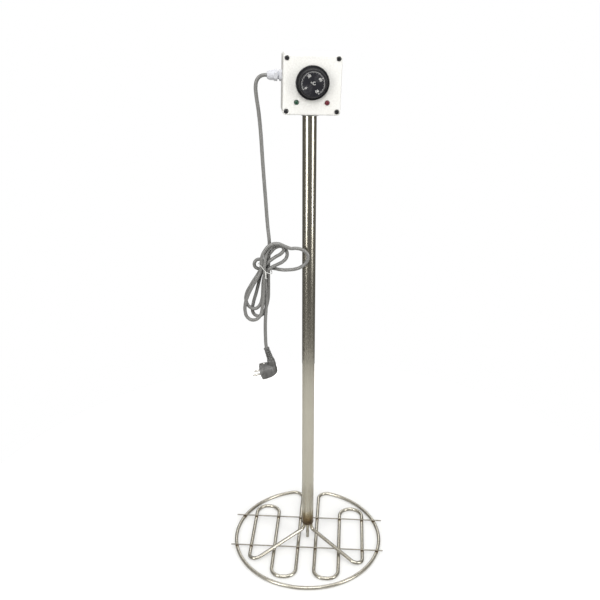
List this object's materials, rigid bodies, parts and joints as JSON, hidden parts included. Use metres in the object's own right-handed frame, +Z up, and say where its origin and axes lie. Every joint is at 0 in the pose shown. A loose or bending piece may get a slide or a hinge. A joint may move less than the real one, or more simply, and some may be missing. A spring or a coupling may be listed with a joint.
{
  "type": "immersion heater",
  "caption": "Free-standing immersion heater: flat ring-shaped heating element on a tall steel stem, thermostat box with knob and lamps, mains cord with plug.",
  "frame": {"origin": "on the floor under the middle of the heating ring, on the stem's axis", "axes": "+Z up along the stem, -Y towards the side the box's knob faces, -X towards the cable gland"},
  "size_m": [0.365, 0.3519, 1.1422],
  "materials": {
    "element_steel": "annealed stainless sheath, matt warm grey",
    "wire_steel": "drawn stainless wire",
    "stem_steel": "polished stainless tube, straw heat tint at the foot",
    "weld": "oxidised weld bead, dark brown",
    "zinc": "zinc-plated steel",
    "copper_alloy": "drawn copper",
    "ceramic": "steatite, satin",
    "rubber": "moulded rubber",
    "box_plastic": "moulded polycarbonate, fine satin texture",
    "screw_plastic": "dark lid screws",
    "knob_plastic": "moulded black plastic",
    "dial_print": "black dial with white print",
    "lamp_green": "clear green lens",
    "lamp_red": "clear red lens",
    "gland_plastic": "light grey polyamide",
    "block_plastic": "natural polyamide",
    "lead_brown": "brown wire insulation",
    "lead_blue": "blue wire insulation",
    "lead_green": "green and yellow wire insulation",
    "cord_pvc": "grey flexible cord jacket",
    "tie_plastic": "white twist tie",
    "plug_pvc": "grey moulded plug",
    "plug_metal": "nickel-plated brass"
  },
  "bodies": {
    "heater": {"heating_element": "element_steel", "stay_wire_front": "wire_steel", "stay_wire_rear": "wire_steel", "stem_tube": "stem_steel", "stem_end_weld": "weld", "sensor_pocket": "element_steel", "sensor_bulb": "copper_alloy", "capillary_tube": "copper_alloy", "terminal_bush_left": "ceramic", "terminal_bush_right": "ceramic", "terminal_pin_left": "zinc", "terminal_pin_right": "zinc", "stem_gasket": "rubber", "stem_flange": "zinc", "stem_locknut": "zinc", "box_base": "box_plastic", "box_lid": "box_plastic", "lid_seal": "rubber", "lid_screw_1": "screw_plastic", "lid_screw_2": "screw_plastic", "lid_screw_3": "screw_plastic", "lid_screw_4": "screw_plastic", "thermostat_body": "zinc", "thermostat_screw_left": "zinc", "thermostat_screw_right": "zinc", "lamp_lens_green": "lamp_green", "lamp_lens_red": "lamp_red", "lamp_holder_green": "knob_plastic", "lamp_holder_red": "knob_plastic", "gland_body": "gland_plastic", "gland_locknut": "gland_plastic", "gland_nut": "gland_plastic", "gland_seal": "rubber", "cord_entry": "cord_pvc", "terminal_block": "block_plastic", "lead_live": "lead_brown", "lead_neutral": "lead_blue", "lead_earth": "lead_green", "cord_upper": "cord_pvc", "cord_side_loop": "cord_pvc", "cord_hank": "cord_pvc", "cord_tail": "cord_pvc", "twist_tie": "tie_plastic", "plug_body": "plug_pvc", "plug_relief": "plug_pvc", "plug_pin_left": "plug_metal", "plug_pin_right": "plug_metal", "earth_clip_upper": "plug_metal", "earth_clip_lower": "plug_metal"},
    "knob": {"knob": "knob_plastic", "dial_disc": "dial_print", "thermostat_spindle": "zinc"}
  },
  "joints": [
    {"name": "knob_turn", "type": "hinge", "parent": "heater", "child": "knob", "pos_m": [0.0015, 0.00021, 1.09098], "axis": [0.1392, -0.9903, 0], "range_deg": [-120, 150]}
  ]
}
